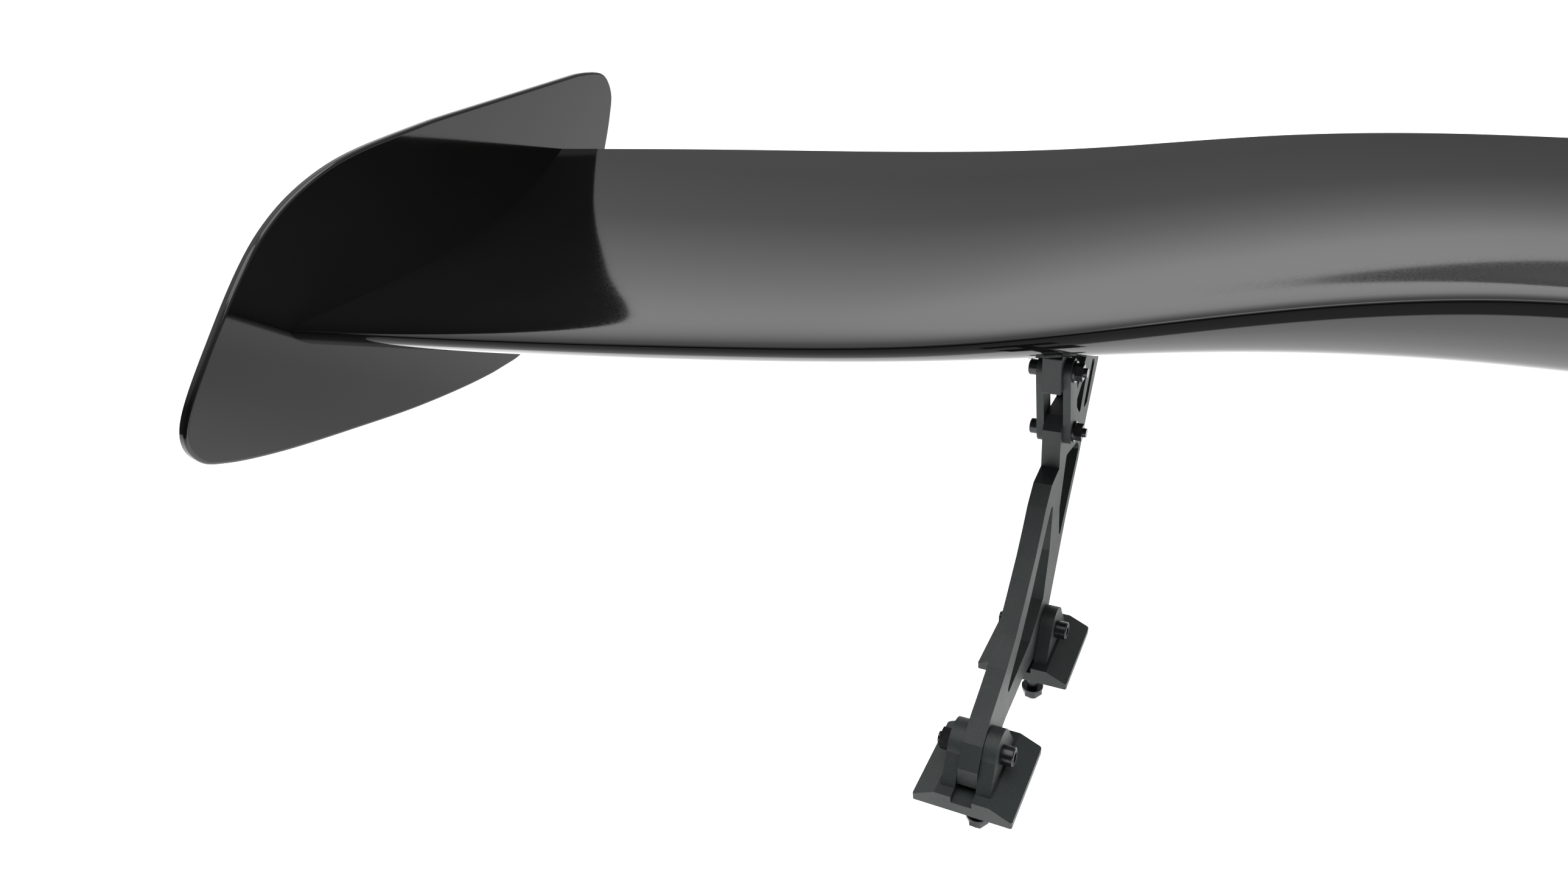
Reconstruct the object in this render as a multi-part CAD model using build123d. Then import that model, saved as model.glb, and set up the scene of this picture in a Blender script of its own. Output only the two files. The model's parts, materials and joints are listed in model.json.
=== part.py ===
from build123d import *
import os
from math import sqrt, radians, cos, sin, atan2, degrees, hypot, pi

# Racing rear wing on two raked legs.
# X runs across the span, -Y is the leading edge, +Z is up.
# The origin is the centre of the four mounting studs, on the plane the feet rest on.

# ---- wing plan and height, one row per station on the half span -------------------------------
# distance from the centreline, leading edge (y, z), trailing edge (y, z), depth of the belly
STATIONS = [
    (720.0, (-43.0, 187.5), (236.5, 228.5), 16.5),
    (576.0, (-22.5, 190.0), (255.5, 228.0), 15.5),
    (432.0, (-3.0, 195.5), (273.0, 227.0), 14.5),
    (324.0, (13.0, 203.5), (288.0, 229.5), 14.5),
    (216.0, (28.5, 222.5), (300.5, 237.5), 22.0),
    (108.0, (38.0, 238.0), (306.5, 240.0), 31.0),
    (0.0, (39.5, 237.5), (307.0, 238.0), 32.0),
]
HALF_SPAN = STATIONS[0][0]
SAG = 24.0                # depth of the hollow in the mean line, at mid chord
CROWN = 10.0              # greatest height of the upper surface over the mean line
CROWN_AT = 0.3255         # share of the chord where that is
BELLY_AT = 0.16           # share of the chord where the lower surface is deepest
TAIL_HALF = 1.3           # half the thickness of the trailing edge
WALL = 2.5                # moulded skin
GLUE = 0.35               # room left round the parts bonded inside
OUTER_T = (0.003, 0.012, 0.035, 0.08, 0.16, 0.28, 0.42, 0.58, 0.74, 0.88)
INNER_T = (0.06, 0.1, 0.16, 0.25, 0.36, 0.5, 0.64, 0.78)
BOND_NOSE = 0.03          # the skins are bonded ahead of this share of the chord
BOND_TAIL = 0.9           # and behind this one
SPAR_T = (0.3, 0.33)
RIB_X = (108.0, 576.0)
RIB_THICK = 6.0

# ---- endplates ---------------------------------------------------------------------------------
PLATE_THICK = 7.0
PLATE_GAP = 0.05          # sealant between the wing's tip and the endplate
PLATE_ROUND = 2.2
PLATE_SCREWS_T = (0.24, 0.41, 0.58)
TIP_BLOCK = 24.0          # length of the block that takes the endplate screws
SCREW_R = 2.5

# ---- stands ------------------------------------------------------------------------------------
LEG_X = 290.0
LEG_THICK = 10.0
FOOT_SPACING = 104.0      # between a leg's two feet
PIVOT_Z = 20.0            # foot pivot above the base
TOE_R = 12.5              # round end of the leg in the foot
M6_R = 3.0
M5_R = 2.5
RUN = 0.08                # radial clearance of a running fit
LINK_LOW = (83.0, 130.0)  # lower link bolt (y, z)
LINK_TOP = (77.0, 168.0)  # upper link bolt
WING_PIVOT = (160.0, 163.0)
LUG_R = 11.0
LINK_THICK = 4.0
LINK_R = 7.0
SIDE_GAP = 0.2            # between parts that turn past each other
PITCH_RANGE = 3.0         # degrees each way
BRACKET_TOP = 179.0
BRACKET_THICK = 4.0
BRACKET_HALF_X = 17.0
BRACKET_Y = (92.0, 178.0)
BRACKET_SCREWS = ((-11.5, 104.0), (11.5, 104.0), (-11.5, 142.0), (11.5, 142.0))
LUG_HALF_Y = 11.0         # front lug, about the upper link bolt
SLOT_ROOM = 0.25          # radial room of the upper link bolt in its slot
EAR_THICK = 4.5

# ---- feet --------------------------------------------------------------------------------------
FOOT_X = 50.0
FOOT_Y = 54.0
FOOT_EDGE = 3.5
FOOT_ROOT = 9.0
FOOT_FLOOR = 5.6
FOOT_EAR = 7.0
FOOT_EAR_R = 12.5
PAD_THICK = 1.5
STUD_LENGTH = 26.0
STUD_CORE_R = 2.5         # where the stud is threaded into the foot and the nut
STUD_FULL_Z = (-24.0, -0.5)
NUT_LENGTH = 8.0

PARTS = "parts"
os.makedirs(PARTS, exist_ok=True)


def save(node, *solids):
    flat = []
    for item in solids:
        flat += item.solids()
    shape = flat[0] if len(flat) == 1 else Compound(children=flat)
    shape.label = node
    export_step(shape, f"{PARTS}/{node}.step")


def both_sides(shape):
    """The shape as it stands on the left, and its mirror image on the right."""
    return [shape, shape.mirror(Plane.YZ)]


# ---- wing section ------------------------------------------------------------------------------
def depth(t, peak, peak_at):
    """How far a surface stands off the mean line: an elliptic nose and a tail that eases out."""
    if t < peak_at:
        return peak * sqrt(1 - (1 - t / peak_at) ** 2)
    s = (t - peak_at) / (1 - peak_at)
    return TAIL_HALF + (peak - TAIL_HALF) * (1 + cos(pi * s)) / 2


def surface(t, side, belly):
    return depth(t, CROWN, CROWN_AT) if side > 0 else depth(t, belly, BELLY_AT)


def section_point(lead, trail, t, offset):
    """A point at share t of the chord, offset upwards from the mean line, as (y, z)."""
    dy = trail[0] - lead[0]
    dz = trail[1] - lead[1]
    chord = hypot(dy, dz)
    rise = offset - SAG * 4 * t * (1 - t)
    return (lead[0] + dy * t - dz / chord * rise, lead[1] + dz * t + dy / chord * rise)


def skin_section(x, lead, trail, belly, side):
    """The closed outline of one skin, side +1 above the mean line and -1 below it."""
    def point(t, offset):
        return Vector(x, *section_point(lead, trail, t, offset))

    nose = point(0, 0)
    tail = point(1, side * TAIL_HALF)
    outer = [nose] + [point(t, side * surface(t, side, belly)) for t in OUTER_T] + [tail]
    bond_nose = point(BOND_NOSE, 0)
    bond_tail = point(BOND_TAIL, 0)
    inner = [bond_tail]
    inner += [point(t, side * (surface(t, side, belly) - WALL)) for t in reversed(INNER_T)]
    inner += [bond_nose]
    mid_tail = point(1, 0)
    edges = [
        Spline(outer),
        Line(tail, mid_tail),
        Line(mid_tail, bond_tail),
        Spline(inner),
        Line(bond_nose, nose),
    ]
    return Face(Wire(edges))


def full_span():
    rows = [(-x, lead, trail, belly) for x, lead, trail, belly in STATIONS]
    rows += list(reversed(STATIONS[:-1]))
    return rows


def wing_skin(side):
    return Solid.make_loft([skin_section(*row, side).outer_wire() for row in full_span()])


def cell_section(x, lead, trail, belly, t_from, t_to, room):
    """The outline of the hollow between two shares of the chord."""
    steps = max(1, round((t_to - t_from) / 0.06))
    shares = [t_from + (t_to - t_from) * i / steps for i in range(steps + 1)]

    def run(side):
        offsets = [side * (surface(t, side, belly) - WALL - room) for t in shares]
        return [Vector(x, *section_point(lead, trail, t, offset)) for t, offset in zip(shares, offsets)]

    above = run(1)
    below = run(-1)[::-1]
    top = Spline(above) if steps > 1 else Line(*above)
    low = Spline(below) if steps > 1 else Line(*below)
    return Wire([top, Line(above[-1], below[0]), low, Line(below[-1], above[0])])


def cell(t_from, t_to, room):
    """The hollow between two shares of the chord, from tip to tip."""
    return Solid.make_loft([cell_section(*row, t_from, t_to, room) for row in full_span()])


def slice_x(solid, x_from, x_to):
    low, high = sorted((x_from, x_to))
    return solid & Pos((low + high) / 2, 0, 200) * Box(high - low, 800, 300)


# ---- plates cut from a side view ---------------------------------------------------------------
def side_plate(outline, x_from, x_to):
    """A face drawn in (y, z), given thickness along X."""
    sketch = Plane.YZ.offset(x_from) * outline
    return extrude(sketch, amount=x_to - x_from, dir=(1, 0, 0))


def cylinder_x(y, z, radius, x_from, x_to):
    return Pos((x_from + x_to) / 2, y, z) * Rot(0, 90, 0) * Cylinder(radius, x_to - x_from)


def hexagon_x(y, z, across, x_from, x_to):
    flat = RegularPolygon(across / 2, 6, major_radius=False)
    return side_plate(Pos(y, z) * flat, x_from, x_to)


def rounded_polygon(points, radius):
    face = make_face(Polyline(*points, close=True))
    return fillet(face.vertices(), radius)


def disc(y, z, radius):
    return Pos(y, z) * Circle(radius)


# ---- endplates ---------------------------------------------------------------------------------
def endplate(sign):
    front = Spline((-124, 163), (-93, 200), (-39, 249), (13, 271), (96, 279))
    top = Line((96, 279), (292, 277.5))
    corner = Spline((292, 277.5), (308, 271), (312.5, 257), (306, 240))
    rear = Spline((306, 240), (286, 207), (246, 152), (196, 109), (142, 92))
    low = Spline((142, 92), (104, 92), (40, 99), (-15, 109), (-76, 122), (-108, 132))
    toe = Spline((-108, 132), (-121, 139), (-126.5, 150), (-124, 163))
    face = make_face([front, top, corner, rear, low, toe])
    inner = sign * (HALF_SPAN + PLATE_GAP)
    outer = sign * (HALF_SPAN + PLATE_GAP + PLATE_THICK)
    plate = side_plate(face, min(inner, outer), max(inner, outer))
    for y, z in screw_points():
        plate -= cylinder_x(y, z, SCREW_R, inner - 1, inner + 1 + sign * PLATE_THICK * 2) \
            if sign > 0 else cylinder_x(y, z, SCREW_R, inner - PLATE_THICK * 2, inner + 1)
        plate -= cylinder_x(y, z, SCREW_R * 2, *sorted((outer - sign * 2.6, outer + sign)))
    return plate


def screw_points():
    lead, trail = STATIONS[0][1:3]
    return [section_point(lead, trail, t, 0) for t in PLATE_SCREWS_T]


def endplate_screw(sign, y, z):
    outer = sign * (HALF_SPAN + PLATE_GAP + PLATE_THICK)
    head = cylinder_x(y, z, SCREW_R * 2 - 0.1, *sorted((outer - sign * 2.6, outer - sign * 0.2)))
    shank = cylinder_x(y, z, SCREW_R, *sorted((outer - sign * 2.6, outer - sign * 15)))
    socket = hexagon_x(y, z, 3.0, *sorted((outer - sign * 1.9, outer + sign)))
    return head + shank - socket


# ---- legs --------------------------------------------------------------------------------------
def leg():
    half = FOOT_SPACING / 2
    frame = make_face(Polyline(
        (-70, 11), (-69, 20), (-61, 30), (-49, 37), (-36, 41.5), (-22, 47), (-6, 56), (9, 67.5),
        (27, 82), (38, 93), (46, 102), (57, 110), (72, 112), (72, 134), (78, 141),
        (88, 141), (100, 141), (155, 172), (168, 157), (159, 139), (135, 113), (119, 93),
        (94, 68), (72, 40), (half + 10, 27), (half - 4, 10), (10, 16), (-21, 15), (-half + 4, 10),
        close=True,
    ))
    shape = frame + disc(-half, PIVOT_Z, TOE_R) + disc(half, PIVOT_Z, TOE_R)
    shape += disc(*WING_PIVOT, 10.0) + disc(*LINK_LOW, LUG_R)
    front_window = rounded_polygon(
        [(62, 99), (50, 89), (36, 76), (20, 61), (4, 48), (-14, 36), (-24, 28), (22, 31), (48, 42), (58, 68)], 2.5)
    rear_window = rounded_polygon([(88, 112), (114, 107), (119, 101), (79, 62), (77, 84)], 2.2)
    top_window = rounded_polygon([(104, 136), (133, 150), (116, 124)], 2.2)
    back_window = rounded_polygon([(124, 122), (143, 147), (149, 143), (134, 123)], 2.0)
    for window in (front_window, rear_window, top_window, back_window):
        shape -= window
    shape -= disc(-half, PIVOT_Z, M6_R) + disc(half, PIVOT_Z, M6_R)
    shape -= disc(*WING_PIVOT, M6_R)
    shape -= disc(*LINK_LOW, M5_R)
    return side_plate(shape, -LEG_THICK / 2, LEG_THICK / 2)


def link_plate(x_from):
    low, top = LINK_LOW, LINK_TOP
    angle = degrees(atan2(top[1] - low[1], top[0] - low[0]))
    length = hypot(top[0] - low[0], top[1] - low[1])
    body = Pos((low[0] + top[0]) / 2, (low[1] + top[1]) / 2) * Rot(0, 0, angle) * Rectangle(length, 2 * LINK_R)
    shape = body + disc(*low, LINK_R) + disc(*top, LINK_R)
    shape -= disc(*low, M5_R) + disc(*top, M5_R)
    return side_plate(shape, x_from, x_from + LINK_THICK)


# ---- fasteners, each drawn on the X axis direction with its head towards +X -------------------------
def socket_bolt(y, z, radius, head_from, tip):
    """Cap screw: the head sits on head_from and the shank runs to tip."""
    way = 1 if head_from > tip else -1
    head_end = head_from + way * radius * 2
    head = cylinder_x(y, z, radius * 1.67, *sorted((head_from, head_end)))
    head = chamfer(head.edges().filter_by(GeomType.CIRCLE).sort_by(Axis.X)[-1 if way > 0 else 0], 0.5)
    shank = cylinder_x(y, z, radius, *sorted((tip, head_from)))
    socket = hexagon_x(y, z, radius * 1.67, *sorted((head_end - way * radius, head_end + way)))
    return head + shank - socket


def flange_nut(y, z, radius, seat, way):
    """Nut with a round flange: seat is the face it bears on, way the side it stands out to."""
    flange = cylinder_x(y, z, radius * 2.3, *sorted((seat, seat + way * 1.2)))
    body = hexagon_x(y, z, radius * 3.3, *sorted((seat + way * 1.2, seat + way * radius * 2)))
    hole = cylinder_x(y, z, radius, *sorted((seat - way, seat + way * radius * 3)))
    return flange + body - hole


def hex_nut(y, z, radius, seat, way):
    washer = cylinder_x(y, z, radius * 1.9, *sorted((seat, seat + way * 1.0)))
    body = hexagon_x(y, z, radius * 3.3, *sorted((seat + way * 1.0, seat + way * radius * 2.1)))
    hole = cylinder_x(y, z, radius, *sorted((seat - way, seat + way * radius * 3)))
    return washer + body - hole


# ---- wing brackets -----------------------------------------------------------------------------
def bracket():
    seat_z = BRACKET_TOP - BRACKET_THICK
    y_from, y_to = BRACKET_Y
    plate = Pos(0, (y_from + y_to) / 2, BRACKET_TOP - BRACKET_THICK / 2) * \
        Box(2 * BRACKET_HALF_X, y_to - y_from, BRACKET_THICK)
    plate = fillet(plate.edges().filter_by(Axis.Z), 5.0)
    reach = hypot(LINK_TOP[0] - WING_PIVOT[0], LINK_TOP[1] - WING_PIVOT[1])
    angle = degrees(atan2(LINK_TOP[1] - WING_PIVOT[1], LINK_TOP[0] - WING_PIVOT[0]))
    front_y = LINK_TOP[0] - LUG_HALF_Y
    lug_low = LINK_TOP[1] - 9.5
    lug = rounded_polygon(
        [(front_y, lug_low), (front_y, BRACKET_TOP), (y_from + 4, BRACKET_TOP), (y_from + 4, seat_z),
         (LINK_TOP[0] + 13, seat_z), (LINK_TOP[0] + 10, lug_low)], 0.9)
    slot = disc(*LINK_TOP, M5_R + SLOT_ROOM)
    steps = 24
    for i in range(steps + 1):
        turn = radians(angle - PITCH_RANGE - 0.2 + (2 * PITCH_RANGE + 0.4) * i / steps)
        slot += disc(WING_PIVOT[0] + reach * cos(turn), WING_PIVOT[1] + reach * sin(turn), M5_R + SLOT_ROOM)
    front = side_plate(lug - slot, -LEG_THICK / 2 + SIDE_GAP / 2, LEG_THICK / 2 - SIDE_GAP / 2)
    shape = plate + front
    for sign in (-1, 1):
        inner = sign * (LEG_THICK / 2 + SIDE_GAP)
        outer = inner + sign * EAR_THICK
        ear = make_face(Polyline((148, seat_z + 1), (176, seat_z + 1), (170, 162), (150, 162), close=True))
        ear = ear + disc(*WING_PIVOT, 10.0) - disc(*WING_PIVOT, M6_R + RUN)
        shape += side_plate(ear, *sorted((inner, outer)))
    for x, y in BRACKET_SCREWS:
        shape -= Pos(x, y, BRACKET_TOP) * Cylinder(M5_R, 20)
    return shape


def bracket_screws():
    screws = []
    seat = BRACKET_TOP - BRACKET_THICK
    for x, y in BRACKET_SCREWS:
        head = Pos(x, y, seat - 1.5) * Cylinder(4.6, 3.0)
        head = fillet(head.edges().filter_by(GeomType.CIRCLE).sort_by(Axis.Z)[0], 1.4)
        shank = Pos(x, y, seat + 8) * Cylinder(M5_R, 16)
        socket = Pos(x, y, seat - 3) * Cylinder(1.6, 3.2)
        screws.append(head + shank - socket)
    return screws


# ---- feet --------------------------------------------------------------------------------------
def foot():
    """One foot casting about its own centre, its pivot at height PIVOT_Z."""
    ear_in = LEG_THICK / 2 + SIDE_GAP
    ear_out = ear_in + FOOT_EAR
    low = PAD_THICK
    profile = Polyline(
        (-FOOT_X / 2, low), (FOOT_X / 2, low), (FOOT_X / 2, low + FOOT_EDGE), (ear_out + 1.5, FOOT_ROOT + low),
        (-ear_out - 1.5, FOOT_ROOT + low), (-FOOT_X / 2, low + FOOT_EDGE), close=True)
    base = extrude(Plane.XZ * make_face(profile), amount=FOOT_Y / 2, both=True)
    base = fillet(base.edges().filter_by(Axis.Z), 1.2)
    rise = make_face(Polyline(
        (-FOOT_Y / 2 + 0.8, low + 3), (FOOT_Y / 2 - 0.8, low + 3), (FOOT_Y / 2 - 6, low + 9), (11.2, PIVOT_Z + 5),
        (-11.2, PIVOT_Z + 5), (-FOOT_Y / 2 + 6, low + 9), close=True))
    rise = rise + disc(0, PIVOT_Z, FOOT_EAR_R)
    body = base + side_plate(rise, -ear_out, ear_out)
    slot = Pos(0, 0, FOOT_FLOOR + low + 25) * Box(2 * ear_in, FOOT_Y + 2, 50)
    body -= slot
    body -= cylinder_x(0, PIVOT_Z, M6_R + RUN, -30, 30)
    body -= Cylinder(STUD_CORE_R, 30)
    return body


def foot_pad():
    pad = Pos(0, 0, PAD_THICK / 2) * Box(FOOT_X - 5, FOOT_Y - 5, PAD_THICK)
    pad = fillet(pad.edges().filter_by(Axis.Z), 4.0)
    return pad - Cylinder(M6_R + 0.5, 10)


def foot_stud():
    """Stud, full size between the foot's face and the nut, and slimmer where it is threaded into either."""
    top = PAD_THICK + FOOT_FLOOR - 0.5
    end = -STUD_LENGTH - 4
    low, high = STUD_FULL_Z
    core = Pos(0, 0, (top + end) / 2) * Cylinder(STUD_CORE_R, top - end)
    return core + Pos(0, 0, (low + high) / 2) * Cylinder(M6_R, high - low)


def dome_nut():
    seat = -(STUD_LENGTH - 1)
    flange = Pos(0, 0, seat - 0.7) * Cylinder(6.2, 1.4)
    body = extrude(Pos(0, 0, seat - 1.4) * RegularPolygon(5.0, 6, major_radius=False), amount=-4.0)
    dome = Pos(0, 0, seat - 4.4) * Sphere(4.7)
    dome &= Pos(0, 0, seat - 10.4) * Box(20, 20, 11)
    shape = flange + body + dome
    return shape - foot_stud()


def place_feet(shape):
    """The four copies: left front, left rear, right front, right rear."""
    half = FOOT_SPACING / 2
    return [Pos(x, y, 0) * shape for x in (-LEG_X, LEG_X) for y in (-half, half)]


def left_and_right(shape):
    """A part drawn about a leg's middle plane, on the left leg and mirrored on the right."""
    return both_sides(Pos(-LEG_X, 0, 0) * shape)


# ---- build the wing ----------------------------------------------------------------------------
upper = wing_skin(1)
lower = wing_skin(-1)
save("wing_upper_skin", upper)
screws = []
for sign, name in ((-1, "left"), (1, "right")):
    plate = endplate(sign)
    save(f"endplate_{name}", plate)
    block = slice_x(cell(0.14, 0.7, 0.6), sign * (HALF_SPAN - TIP_BLOCK), sign * (HALF_SPAN - 0.2))
    for y, z in screw_points():
        screws.append(endplate_screw(sign, y, z))
        block -= cylinder_x(y, z, SCREW_R, *sorted((sign * (HALF_SPAN + 1), sign * (HALF_SPAN - 30))))
    save(f"tip_block_{name}", block)
save("endplate_screws", *screws)

spar = slice_x(cell(*SPAR_T, GLUE), TIP_BLOCK + 4 - HALF_SPAN, HALF_SPAN - TIP_BLOCK - 4)
for sign in (-1, 1):
    spar -= Pos(sign * LEG_X, 0, 200) * Box(64, 800, 200)
save("wing_spar", spar)
ribs = []
for share in ((0.08, SPAR_T[0] - 0.008), (SPAR_T[1] + 0.008, 0.7)):
    hollow = cell(*share, 0.6)
    for middle in (-RIB_X[1], -RIB_X[0], RIB_X[0], RIB_X[1]):
        ribs.append(slice_x(hollow, middle - RIB_THICK / 2, middle + RIB_THICK / 2))
save("wing_ribs", *ribs)

# ---- build the stands --------------------------------------------------------------------------
half_spacing = FOOT_SPACING / 2
for name, copy in zip(("left", "right"), left_and_right(leg())):
    save(f"leg_{name}", copy)
link_x = LEG_THICK / 2 + SIDE_GAP / 2
for name, index in (("left", 0), ("right", 1)):
    plates = [left_and_right(link_plate(x))[index] for x in (link_x, -link_x - LINK_THICK)]
    save(f"link_plates_{name}", *plates)
link_out = link_x + LINK_THICK
ear_out = LEG_THICK / 2 + SIDE_GAP + EAR_THICK
foot_out = LEG_THICK / 2 + SIDE_GAP + FOOT_EAR
# the head is outboard on the link bolts and inboard on the foot bolts
save("link_bolts_lower", *left_and_right(socket_bolt(*LINK_LOW, M5_R, -link_out, link_out + 7)))
save("link_bolts_upper", *left_and_right(socket_bolt(*LINK_TOP, M5_R, -link_out, link_out + 7)))
save("link_nuts_lower", *left_and_right(flange_nut(*LINK_LOW, M5_R, link_out, 1)))
save("link_nuts_upper", *left_and_right(flange_nut(*LINK_TOP, M5_R, link_out, 1)))
save("wing_pivot_bolts", *left_and_right(socket_bolt(*WING_PIVOT, M6_R, -ear_out - 0.2, ear_out + 8)))
save("wing_pivot_nuts", *left_and_right(hex_nut(*WING_PIVOT, M6_R, ear_out + 0.2, 1)))
foot_bolts = []
foot_nuts = []
for y in (-half_spacing, half_spacing):
    foot_bolts += left_and_right(socket_bolt(y, PIVOT_Z, M6_R, foot_out + 0.2, -foot_out - 8))
    foot_nuts += left_and_right(hex_nut(y, PIVOT_Z, M6_R, -foot_out - 0.2, -1))
save("foot_pivot_bolts", *foot_bolts)
save("foot_pivot_nuts", *foot_nuts)

foot_names = ("front_left", "rear_left", "front_right", "rear_right")
for piece, maker in (("foot", foot), ("foot_pad", foot_pad), ("foot_stud", foot_stud), ("dome_nut", dome_nut)):
    for name, copy in zip(foot_names, place_feet(maker())):
        save(f"{piece}_{name}", copy)

# ---- brackets, which are fitted to the underside of the wing ---------------------------------------
for index, name in enumerate(("left", "right")):
    save(f"wing_bracket_{name}", left_and_right(bracket())[index])
    sign = (-1, 1)[index]
    pad = Pos(sign * LEG_X, sum(BRACKET_Y) / 2, BRACKET_TOP + 8) * \
        Box(2 * BRACKET_HALF_X, BRACKET_Y[1] - BRACKET_Y[0], 16)
    pad = fillet(pad.edges().filter_by(Axis.Z), 5.0)
    insert = slice_x(cell(0.14, 0.62, 0.6), sign * LEG_X - 30, sign * LEG_X + 30)
    holes = [Pos(sign * LEG_X + x, y, BRACKET_TOP + 5) * Cylinder(M5_R, 20) for x, y in BRACKET_SCREWS]
    for hole in holes:
        pad -= hole
        insert -= hole
        lower -= hole
    pad = pad - lower - cell(0.05, 0.75, 0.0)
    pad = pad.solids().sort_by(Axis.Z)[0]
    save(f"bracket_pad_{name}", pad)
    save(f"mount_block_{name}", insert)
save("wing_lower_skin", lower)
screws = []
for screw in bracket_screws():
    screws += left_and_right(screw)
save("bracket_screws", *screws)
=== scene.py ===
import json
import math

import bmesh
import bpy
import numpy as np
from mathutils import Matrix, Vector


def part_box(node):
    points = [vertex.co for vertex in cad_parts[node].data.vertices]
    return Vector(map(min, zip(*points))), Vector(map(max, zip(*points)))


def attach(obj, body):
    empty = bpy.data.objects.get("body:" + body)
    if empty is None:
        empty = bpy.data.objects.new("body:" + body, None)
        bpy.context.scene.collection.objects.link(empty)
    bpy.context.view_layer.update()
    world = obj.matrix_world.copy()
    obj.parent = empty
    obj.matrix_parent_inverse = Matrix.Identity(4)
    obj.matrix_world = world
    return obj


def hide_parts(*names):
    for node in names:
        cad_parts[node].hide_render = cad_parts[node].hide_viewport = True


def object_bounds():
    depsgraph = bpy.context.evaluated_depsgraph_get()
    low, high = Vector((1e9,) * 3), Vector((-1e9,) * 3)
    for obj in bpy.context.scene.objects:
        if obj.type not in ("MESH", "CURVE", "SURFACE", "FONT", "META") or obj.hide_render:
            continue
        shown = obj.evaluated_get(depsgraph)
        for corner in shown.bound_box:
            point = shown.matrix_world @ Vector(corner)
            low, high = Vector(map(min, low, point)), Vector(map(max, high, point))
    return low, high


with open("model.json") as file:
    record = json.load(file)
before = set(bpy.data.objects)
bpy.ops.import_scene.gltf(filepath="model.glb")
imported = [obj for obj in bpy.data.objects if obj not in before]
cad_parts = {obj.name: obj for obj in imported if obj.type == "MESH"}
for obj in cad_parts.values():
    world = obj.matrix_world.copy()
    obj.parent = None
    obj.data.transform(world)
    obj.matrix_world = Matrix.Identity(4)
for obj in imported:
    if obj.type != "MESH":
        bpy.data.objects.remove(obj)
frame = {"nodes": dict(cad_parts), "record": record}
CAD_BOX = [list(corner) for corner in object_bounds()]
MM = 0.001

# ---- the wing's shape in millimetres -----------------------------------------------------------
# half span station, leading edge (y, z), trailing edge (y, z), depth of the belly
STATIONS = [
    (720.0, (-43.0, 187.5), (236.5, 228.5), 16.5),
    (576.0, (-22.5, 190.0), (255.5, 228.0), 15.5),
    (432.0, (-3.0, 195.5), (273.0, 227.0), 14.5),
    (324.0, (13.0, 203.5), (288.0, 229.5), 14.5),
    (216.0, (28.5, 222.5), (300.5, 237.5), 22.0),
    (108.0, (38.0, 238.0), (306.5, 240.0), 31.0),
    (0.0, (39.5, 237.5), (307.0, 238.0), 32.0),
]
SAG = 24.0                # hollow of the mean line at mid chord
CROWN = 10.0              # height of the upper surface over the mean line
CROWN_AT = 0.3255         # and the share of the chord where that is
BELLY_AT = 0.16           # share of the chord where the lower surface is deepest
TAIL_HALF = 1.3
NOSE_ROWS = 24            # mesh rows from the nose to BELLY_AT, and from there to the tail
BODY_ROWS = 46
SPAN_STEPS = 180
PAINTED_REFLECTION_MIDDLE = -1.9         # the nose's painted dark reflection, a band of low specular: its middle, as an offset from the mean line
PAINTED_REFLECTION_HALF = 3.2            # half its height
PAINTED_REFLECTION_REACH = 10.0          # distance at which its mask falls to nothing
PAINTED_REFLECTION_SHARE = 0.05          # share of the chord that it stays within
PLATE_ROUND = 2.2         # rounding of the endplates' edges
FLOOR_SIDE = 40.0         # half the side of the studio floor, in metres
FLOOR_DROP = 0.001        # the floor lies this far below the lowest point
CAMERA_AT = (-0.1717, -0.4310, 0.4084)
CAMERA_TURN = (29.24, -28.14, -5.16)     # heading, pitch and roll, in degrees
CAMERA_LENS = 24.46
FOOT_PLACES = ("front_left", "rear_left", "front_right", "rear_right")


# ---- small helpers -----------------------------------------------------------------------------
def link(name, mesh):
    piece = bpy.data.objects.new(name, mesh)
    bpy.context.scene.collection.objects.link(piece)
    return piece


def mesh_from(name, points, faces, smooth=True):
    mesh = bpy.data.meshes.new(name)
    mesh.from_pydata([tuple(p) for p in points], [], faces)
    mesh.validate()
    work = bmesh.new()
    work.from_mesh(mesh)
    bmesh.ops.recalc_face_normals(work, faces=work.faces)
    work.to_mesh(mesh)
    work.free()
    for face in mesh.polygons:
        face.use_smooth = smooth
    return link(name, mesh)


def spline(rows, steps):
    """A natural cubic spline through rows of numbers, spaced by the first number of each row."""
    table = np.array(rows, float)
    knots = table[:, 0]
    gaps = np.diff(knots)[:, None]
    count = len(table)
    system = np.eye(count)
    right = np.zeros_like(table)
    slopes = np.diff(table, axis=0) / gaps
    for i in range(1, count - 1):
        before, after = gaps[i - 1, 0], gaps[i, 0]
        system[i, i - 1:i + 2] = before, 2 * (before + after), after
        right[i] = 6 * (slopes[i] - slopes[i - 1])
    bend = np.linalg.solve(system, right)
    out = []
    for i in range(count - 1):
        gap = gaps[i, 0]
        for j in range(steps):
            ahead = gap * j / steps
            left = gap - ahead
            out.append((bend[i] * left ** 3 + bend[i + 1] * ahead ** 3) / (6 * gap)
                       + (table[i] / gap - bend[i] * gap / 6) * left
                       + (table[i + 1] / gap - bend[i + 1] * gap / 6) * ahead)
    out.append(table[-1])
    return out


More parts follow.
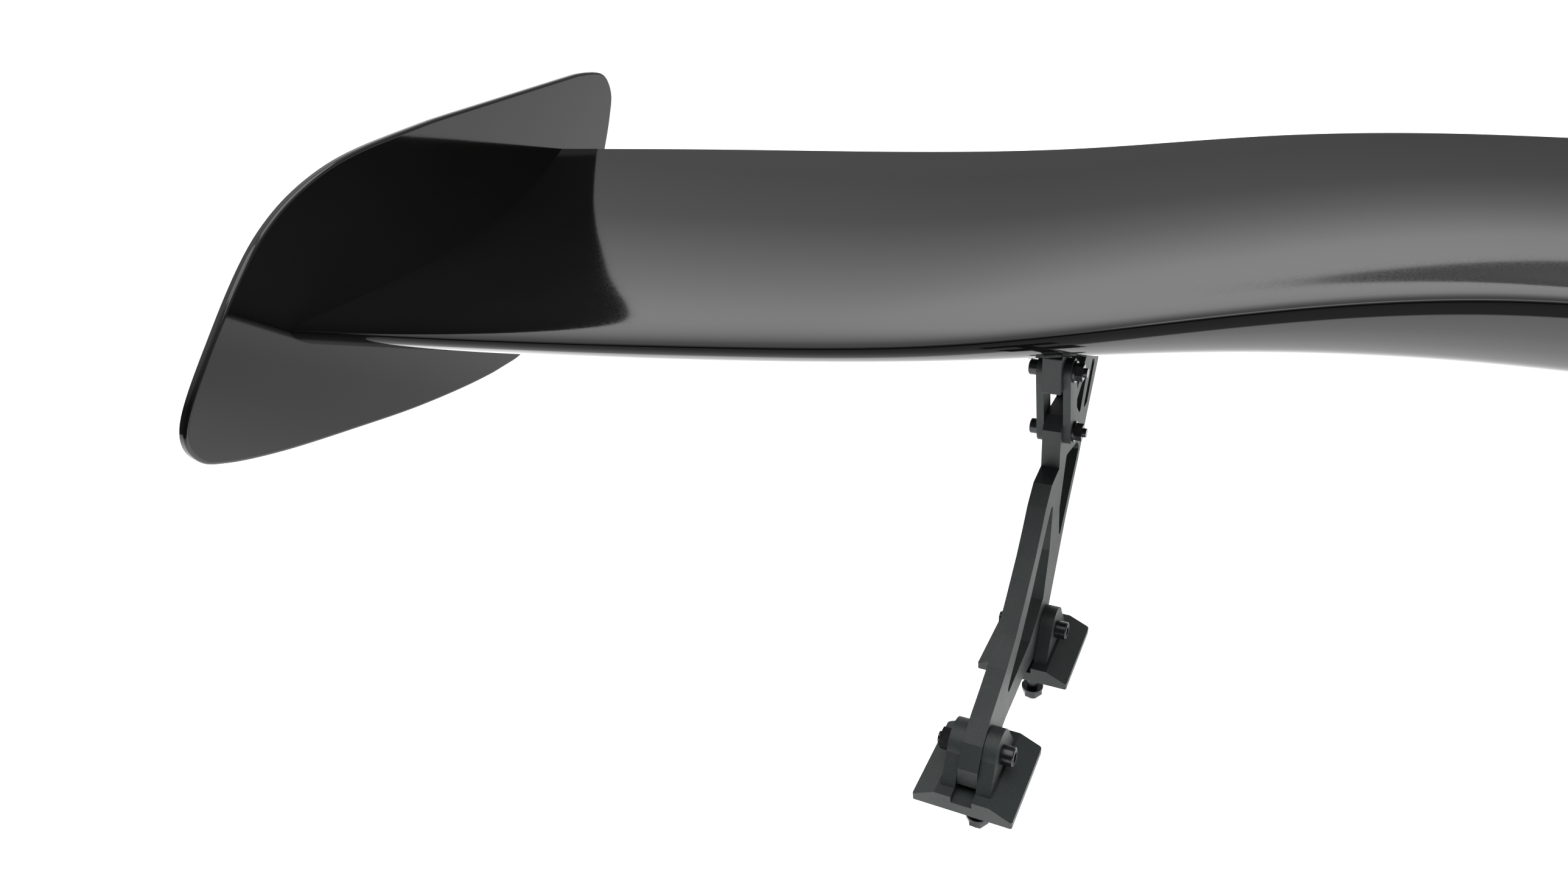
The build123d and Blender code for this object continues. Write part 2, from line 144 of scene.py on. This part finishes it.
def centripetal(points, steps):
    """A closed smooth line through 2-D points that are spaced unevenly."""
    out = []
    count = len(points)
    for i in range(count):
        a, b, c, d = (Vector(points[(i + k - 1) % count]) for k in range(4))
        knots = [0.0]
        for p, q in ((a, b), (b, c), (c, d)):
            knots.append(knots[-1] + math.sqrt((q - p).length))
        for j in range(steps):
            t = knots[1] + (knots[2] - knots[1]) * j / steps

            def mix(p, q, start, end):
                return p * ((end - t) / (end - start)) + q * ((t - start) / (end - start))

            ab = mix(a, b, knots[0], knots[1])
            bc = mix(b, c, knots[1], knots[2])
            cd = mix(c, d, knots[2], knots[3])
            out.append(tuple(mix(mix(ab, bc, knots[0], knots[2]), mix(bc, cd, knots[1], knots[3]),
                                 knots[1], knots[2])))
    return out


def levels(node, pairs):
    """Fill a colour ramp with grey levels."""
    while len(node.color_ramp.elements) < len(pairs):
        node.color_ramp.elements.new(0.5)
    for element, (at, level) in zip(node.color_ramp.elements, pairs):
        element.position = at
        element.color = (level, level, level, 1)


# ---- materials ---------------------------------------------------------------------------------
class Recipe:
    """A procedural material: a principled shader with textures laid over it."""

    def __init__(self, name):
        self.material = bpy.data.materials.new(name)
        self.material.use_nodes = True
        self.nodes = self.material.node_tree.nodes
        self.links = self.material.node_tree.links
        self.shader = self.nodes["Principled BSDF"]
        self.place = self.nodes.new("ShaderNodeTexCoord").outputs["Object"]

    def set(self, **values):
        for key, value in values.items():
            self.shader.inputs[key.replace("_", " ")].default_value = value

    def noise(self, scale, detail=3.0, rough=0.5):
        node = self.nodes.new("ShaderNodeTexNoise")
        node.inputs["Scale"].default_value = scale
        node.inputs["Detail"].default_value = detail
        node.inputs["Roughness"].default_value = rough
        self.links.new(self.place, node.inputs["Vector"])
        return node.outputs["Fac"]

    def ramp(self, source, low, high, start=0.0, end=1.0):
        node = self.nodes.new("ShaderNodeMapRange")
        node.inputs["From Min"].default_value = start
        node.inputs["From Max"].default_value = end
        node.inputs["To Min"].default_value = low
        node.inputs["To Max"].default_value = high
        self.links.new(source, node.inputs["Value"])
        return node.outputs["Result"]

    def colours(self, source, low, high, start=0.3, end=0.7):
        node = self.nodes.new("ShaderNodeValToRGB")
        node.color_ramp.elements[0].color = (*low, 1)
        node.color_ramp.elements[0].position = start
        node.color_ramp.elements[1].color = (*high, 1)
        node.color_ramp.elements[1].position = end
        self.links.new(source, node.inputs["Fac"])
        return node.outputs["Color"]

    def bump(self, source, strength, distance, below=None):
        node = self.nodes.new("ShaderNodeBump")
        node.inputs["Strength"].default_value = strength
        node.inputs["Distance"].default_value = distance
        self.links.new(source, node.inputs["Height"])
        if below is not None:
            self.links.new(below, node.inputs["Normal"])
        return node.outputs["Normal"]

    def feed(self, socket, source):
        self.links.new(source, self.shader.inputs[socket])


def gloss_black():
    """Polished black moulding: slow waviness, fine dust and rubbing marks in the gloss, and a painted
    dark reflection along the nose where the specular is turned down.
    """
    recipe = Recipe("gloss_black_moulding")
    recipe.set(IOR=1.5)
    slow = recipe.noise(7.0, 2.0)
    dust = recipe.noise(900.0, 4.0, 0.7)
    recipe.feed("Base Color", recipe.colours(slow, (0.0016, 0.0018, 0.0016), (0.0032, 0.0034, 0.0032)))
    recipe.feed("Roughness", recipe.ramp(dust, 0.025, 0.11, 0.35, 0.75))
    recipe.feed("Normal", recipe.bump(slow, 0.05, 0.002))
    # painted reflection: the specular is turned down in a band along the nose, so the band shows as a
    # dark reflection
    painted_dark_reflection = recipe.nodes.new("ShaderNodeAttribute")
    painted_dark_reflection.attribute_name = "painted_dark_reflection"
    edge = PAINTED_REFLECTION_REACH - PAINTED_REFLECTION_HALF
    recipe.feed("Specular IOR Level", recipe.ramp(painted_dark_reflection.outputs["Fac"], 0.5, 0.06, edge - 0.3, edge + 0.3))
    return recipe.material


def powder_coat():
    """Satin black textured powder coat with a slight green-grey cast."""
    recipe = Recipe("black_powder_coat")
    recipe.set(IOR=1.5)
    grain = recipe.noise(1500.0, 3.0, 0.6)
    recipe.set(Specular_IOR_Level=0.4)
    patch = recipe.noise(45.0, 3.0)
    recipe.feed("Base Color", recipe.colours(grain, (0.006, 0.0095, 0.0092), (0.013, 0.0185, 0.018)))
    recipe.feed("Roughness", recipe.ramp(patch, 0.44, 0.6))
    recipe.feed("Normal", recipe.bump(grain, 0.35, 0.0004))
    return recipe.material


def black_bolt():
    """Black plated steel, polished, with faint turning marks."""
    recipe = Recipe("black_plated_steel")
    recipe.set(Metallic=0.6, IOR=1.6)
    marks = recipe.noise(700.0, 4.0, 0.7)
    wear = recipe.noise(160.0, 4.0)
    recipe.feed("Base Color", recipe.colours(wear, (0.012, 0.012, 0.014), (0.035, 0.036, 0.04)))
    recipe.feed("Roughness", recipe.ramp(marks, 0.16, 0.34))
    recipe.feed("Normal", recipe.bump(marks, 0.15, 0.0002))
    return recipe.material


def rubber():
    """Matt black rubber with a fine grain."""
    recipe = Recipe("matt_rubber")
    grain = recipe.noise(1100.0, 3.0, 0.6)
    recipe.feed("Base Color", recipe.colours(grain, (0.012, 0.012, 0.012), (0.024, 0.024, 0.024)))
    recipe.feed("Roughness", recipe.ramp(grain, 0.75, 0.95))
    recipe.feed("Normal", recipe.bump(grain, 0.3, 0.0003))
    return recipe.material


def core():
    """Pale bonded wood core, hidden inside the wing."""
    recipe = Recipe("bonded_core")
    grain = recipe.noise(90.0, 6.0, 0.7)
    recipe.feed("Base Color", recipe.colours(grain, (0.35, 0.24, 0.13), (0.6, 0.46, 0.28)))
    recipe.feed("Roughness", recipe.ramp(grain, 0.6, 0.85))
    recipe.feed("Normal", recipe.bump(grain, 0.3, 0.0006))
    return recipe.material


def pale_floor():
    """White studio floor with painted light: it glows, most strongly in a band just in front of and under
    the wing's nose, and less further off.
    """
    recipe = Recipe("pale_floor")
    soft = recipe.noise(0.8, 2.0)
    recipe.feed("Base Color", recipe.colours(soft, (0.93, 0.93, 0.93), (0.95, 0.95, 0.95)))
    recipe.set(Roughness=0.9)
    recipe.shader.inputs["Specular IOR Level"].default_value = 0.0
    recipe.shader.inputs["Emission Color"].default_value = (1, 1, 1, 1)
    # painted light: the floor's glow strength changes with Y, peaking in front of and under the wing
    split = recipe.nodes.new("ShaderNodeSeparateXYZ")
    recipe.links.new(recipe.place, split.inputs["Vector"])
    painted_floor_glow = recipe.nodes.new("ShaderNodeValToRGB")
    levels(painted_floor_glow, ((0.0, 0.5), (0.45, 1.4), (0.7, 1.5), (0.85, 0.75), (1.0, 0.75)))
    recipe.links.new(recipe.ramp(split.outputs["Y"], 0.0, 1.0, -1.0, 0.5), painted_floor_glow.inputs["Fac"])
    recipe.feed("Emission Strength", painted_floor_glow.outputs["Color"])
    return recipe.material


MATERIALS = {
    "gloss_black": gloss_black(),
    "powder_coat": powder_coat(),
    "black_bolt": black_bolt(),
    "rubber_pad": rubber(),
    "inner_block": core(),
}
SLOTS = {part["node"]: part["material_slot"] for part in frame["record"]["subparts"]}


def paint_nodes():
    for node, piece in frame["nodes"].items():
        piece.data.materials.clear()
        piece.data.materials.append(MATERIALS[SLOTS[node]])


def soften(width, *names):
    """Break the sharp edges of machined pieces."""
    for name in names:
        bevel = frame["nodes"][name].modifiers.new("break_edges", "BEVEL")
        bevel.width = width * MM
        bevel.segments = 3
        bevel.limit_method = "ANGLE"
        bevel.angle_limit = math.radians(35)
        bevel.harden_normals = True


def draw_in(depth, *names):
    """Pull hidden pieces in from the shell they are bonded to."""
    for name in names:
        frame["nodes"][name].modifiers.new("join_corners", "WELD").merge_threshold = 0.01 * MM
        shrink = frame["nodes"][name].modifiers.new("draw_in", "DISPLACE")
        shrink.mid_level = 0.0
        shrink.strength = -depth * MM


# ---- the wing's shell --------------------------------------------------------------------------
def depth(t, peak, peak_at):
    if t < peak_at:
        return peak * math.sqrt(max(0.0, 1 - (1 - t / peak_at) ** 2))
    s = (t - peak_at) / (1 - peak_at)
    return TAIL_HALF + (peak - TAIL_HALF) * (1 + math.cos(math.pi * s)) / 2


def section_point(lead, trail, t, offset):
    dy, dz = trail[0] - lead[0], trail[1] - lead[1]
    chord = math.hypot(dy, dz)
    rise = offset - SAG * 4 * t * (1 - t)
    return (lead[0] + dy * t - dz / chord * rise, lead[1] + dz * t + dy / chord * rise)


def chord_shares():
    """Shares of the chord, crowded together round the nose."""
    nose = [BELLY_AT * (i / NOSE_ROWS) ** 2.2 for i in range(NOSE_ROWS)]
    body = [BELLY_AT + (1 - BELLY_AT) * i / BODY_ROWS for i in range(BODY_ROWS + 1)]
    return nose + body


def wing_outline(lead, trail, belly):
    """The closed section, from the top of the tail round the nose to the bottom of the tail."""
    shares = chord_shares()
    top = [section_point(lead, trail, t, depth(t, CROWN, CROWN_AT)) for t in reversed(shares)]
    low = [section_point(lead, trail, t, -depth(t, belly, BELLY_AT)) for t in shares[1:]]
    return top + low


def painted_reflection_nearness(belly):
    """How near each point of wing_outline is to the middle of the nose's painted dark reflection band, 0
    when far off.
    """
    shares = chord_shares()
    top = [(t, depth(t, CROWN, CROWN_AT)) for t in reversed(shares)]
    low = [(t, -depth(t, belly, BELLY_AT)) for t in shares[1:]]
    return [max(0.0, PAINTED_REFLECTION_REACH - abs(offset - PAINTED_REFLECTION_MIDDLE)) if t < PAINTED_REFLECTION_SHARE else 0.0
            for t, offset in top + low]


def wing_shell():
    rows = [(-x, *lead, *trail, belly) for x, lead, trail, belly in STATIONS]
    rows += [(x, *lead, *trail, belly) for x, lead, trail, belly in reversed(STATIONS[:-1])]
    smooth = spline(rows, SPAN_STEPS // (len(rows) - 1))
    points, faces = [], []
    for x, ly, lz, ty, tz, belly in smooth:
        points += [(x * MM, y * MM, z * MM) for y, z in wing_outline((ly, lz), (ty, tz), belly)]
    ring = len(points) // len(smooth)
    for i in range(len(smooth) - 1):
        for j in range(ring):
            k = (j + 1) % ring
            a = i * ring
            faces.append((a + j, a + k, a + ring + k, a + ring + j))
    for start in (0, (len(smooth) - 1) * ring):
        for j in range(ring // 2):
            other = ring - 1 - j
            if other - j > 2:
                faces.append((start + j, start + j + 1, start + other - 1, start + other))
            elif other - j == 2:
                faces.append((start + j, start + j + 1, start + other))
    piece = mesh_from("wing_shell", points, faces)
    # painted reflection: a mask of the dark band along the nose, read by the gloss material
    painted_dark_reflection = piece.data.attributes.new("painted_dark_reflection", "FLOAT", "POINT")
    for i, row in enumerate(smooth):
        for j, value in enumerate(painted_reflection_nearness(row[5])):
            painted_dark_reflection.data[i * ring + j].value = value
    mark_sharp(piece, 50)
    piece.data.materials.append(MATERIALS["gloss_black"])
    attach(piece, "wing")
    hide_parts("wing_upper_skin", "wing_lower_skin")


def mark_sharp(piece, angle):
    work = bmesh.new()
    work.from_mesh(piece.data)
    for edge in work.edges:
        edge.smooth = edge.calc_face_angle(0.0) < math.radians(angle)
    work.to_mesh(piece.data)
    work.free()


# ---- endplates ---------------------------------------------------------------------------------
def plate_outline():
    spans = [
        [(-124, 163), (-93, 200), (-39, 249), (13, 271), (96, 279)],
        [(96, 279), (292, 277.5)],
        [(292, 277.5), (308, 271), (312.5, 257), (306, 240)],
        [(306, 240), (286, 207), (246, 152), (196, 109), (142, 92)],
        [(142, 92), (104, 92), (40, 99), (-15, 109), (-76, 122), (-108, 132)],
        [(-108, 132), (-121, 139), (-126.5, 150), (-124, 163)],
    ]
    knots = []
    for span in spans:
        knots += span[:-1]
    return centripetal(knots, 12)


def endplate(name):
    low, high = ([value / MM for value in corner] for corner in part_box(name))
    outline = [(min(max(y, low[1]), high[1]), min(max(z, low[2]), high[2])) for y, z in plate_outline()]
    xs = (low[0], high[0])
    count = len(outline)
    points = [(x * MM, y * MM, z * MM) for x in xs for y, z in outline]
    faces = [tuple(range(count)), tuple(range(2 * count - 1, count - 1, -1))]
    faces += [(j, (j + 1) % count, count + (j + 1) % count, count + j) for j in range(count)]
    piece = mesh_from(f"{name}_shell", points, faces)
    bevel = piece.modifiers.new("round", "BEVEL")
    bevel.width = PLATE_ROUND * MM
    bevel.segments = 5
    bevel.limit_method = "ANGLE"
    bevel.angle_limit = math.radians(40)
    bevel.harden_normals = True
    piece.data.materials.append(MATERIALS["gloss_black"])
    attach(piece, "wing")
    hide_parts(name)


# ---- studio ------------------------------------------------------------------------------------
SKY_BY_HEIGHT = ((0.0, 0.8), (0.2, 1.05), (0.4, 0.85), (0.6, 0.75), (0.8, 0.95), (0.93, 1.3), (1.0, 2.4))
SKY_FRONT_TO_BACK = ((0.0, 0.06), (0.3, 0.09), (0.44, 0.85), (0.6, 1.0), (1.0, 1.1))


def studio():
    """A pale floor, a sky that is dark low down in front of the wing, and two soft lamps."""
    floor_z = CAD_BOX[0][2] - FLOOR_DROP
    corners = [(x * FLOOR_SIDE, y * FLOOR_SIDE, floor_z) for x, y in ((-1, -1), (1, -1), (1, 1), (-1, 1))]
    floor = mesh_from("studio_floor", corners, [(0, 1, 2, 3)], smooth=False)
    floor.data.materials.append(pale_floor())
    world = bpy.data.worlds.new("studio")
    bpy.context.scene.world = world
    world.use_nodes = True
    tree = world.node_tree
    back = tree.nodes["Background"]
    place = tree.nodes.new("ShaderNodeTexCoord")
    split = tree.nodes.new("ShaderNodeSeparateXYZ")
    tree.links.new(place.outputs["Generated"], split.inputs["Vector"])
    high = tree.nodes.new("ShaderNodeValToRGB")
    levels(high, SKY_BY_HEIGHT)
    round_about = tree.nodes.new("ShaderNodeValToRGB")
    levels(round_about, SKY_FRONT_TO_BACK)
    stretch = tree.nodes.new("ShaderNodeMapRange")
    stretch.inputs["From Min"].default_value = -1.0
    stretch.inputs["From Max"].default_value = 1.0
    tree.links.new(split.outputs["Z"], high.inputs["Fac"])
    rise = tree.nodes.new("ShaderNodeMath")
    rise.operation = "ADD"
    tree.links.new(split.outputs["Y"], rise.inputs[0])
    tree.links.new(split.outputs["Z"], rise.inputs[1])
    lower = tree.nodes.new("ShaderNodeMath")
    lower.operation = "SUBTRACT"
    lower.inputs[1].default_value = 0.3
    tree.links.new(rise.outputs["Value"], lower.inputs[0])
    tree.links.new(lower.outputs["Value"], stretch.inputs["Value"])
    tree.links.new(stretch.outputs["Result"], round_about.inputs["Fac"])
    across = tree.nodes.new("ShaderNodeMapRange")
    across.inputs["From Min"].default_value = -0.8
    across.inputs["From Max"].default_value = 0.6
    across.inputs["To Min"].default_value = 1.0
    across.inputs["To Max"].default_value = 0.5
    tree.links.new(split.outputs["X"], across.inputs["Value"])
    total = high.outputs["Color"]
    for factor in (round_about.outputs["Color"], across.outputs["Result"]):
        times = tree.nodes.new("ShaderNodeVectorMath")
        times.operation = "MULTIPLY"
        tree.links.new(total, times.inputs[0])
        tree.links.new(factor, times.inputs[1])
        total = times.outputs["Vector"]
    plain = tree.nodes.new("ShaderNodeMix")
    plain.data_type = "RGBA"
    colours = [socket for socket in plain.inputs if socket.type == "RGBA"]
    colours[1].default_value = (1, 1, 1, 1)
    tree.links.new(total, colours[0])
    tree.links.new(tree.nodes.new("ShaderNodeLightPath").outputs["Is Camera Ray"], plain.inputs[0])
    shown = [socket for socket in plain.outputs if socket.type == "RGBA"][0]
    tree.links.new(shown, back.inputs["Color"])
    back.inputs["Strength"].default_value = 1.0
    area_lamp("overhead", (2.4, 1.6), 30, (0.2, 0.2, 2.4), (0.0, 0.0, 0.0))
    area_lamp("front_strip", (3.6, 0.9), 26, (-0.2, -0.95, 1.9), (-0.45, 0.0, 0.0))


def area_lamp(name, size, energy, place, turn):
    lamp = bpy.data.lights.new(name, "AREA")
    lamp.shape = "RECTANGLE"
    lamp.size, lamp.size_y = size
    lamp.energy = energy
    holder = bpy.data.objects.new(name, lamp)
    holder.location = place
    holder.rotation_euler = turn
    bpy.context.scene.collection.objects.link(holder)


def camera():
    heading, pitch, roll = (math.radians(angle) for angle in CAMERA_TURN)
    lens = bpy.data.cameras.new("view")
    lens.sensor_width = 36.0
    lens.lens = CAMERA_LENS
    lens.clip_end = 200
    lens.clip_start = 0.01
    view = bpy.data.objects.new("view", lens)
    turn = Matrix.Rotation(heading, 4, "Z") @ Matrix.Rotation(math.pi / 2 + pitch, 4, "X")
    turn = turn @ Matrix.Rotation(roll, 4, "Z")
    view.matrix_world = Matrix.Translation(CAMERA_AT) @ turn
    bpy.context.scene.collection.objects.link(view)
    bpy.context.scene.camera = view


paint_nodes()
soften(0.7, "leg_left", "leg_right", "link_plates_left", "link_plates_right")
soften(0.5, *[name for name in frame["nodes"] if name.startswith("foot_") and name[5:] in FOOT_PLACES])
draw_in(3.2, "tip_block_left", "tip_block_right")
draw_in(1.2, "wing_spar")
wing_shell()
endplate("endplate_left")
endplate("endplate_right")
studio()
camera()
bpy.context.scene.view_settings.view_transform = "Standard"
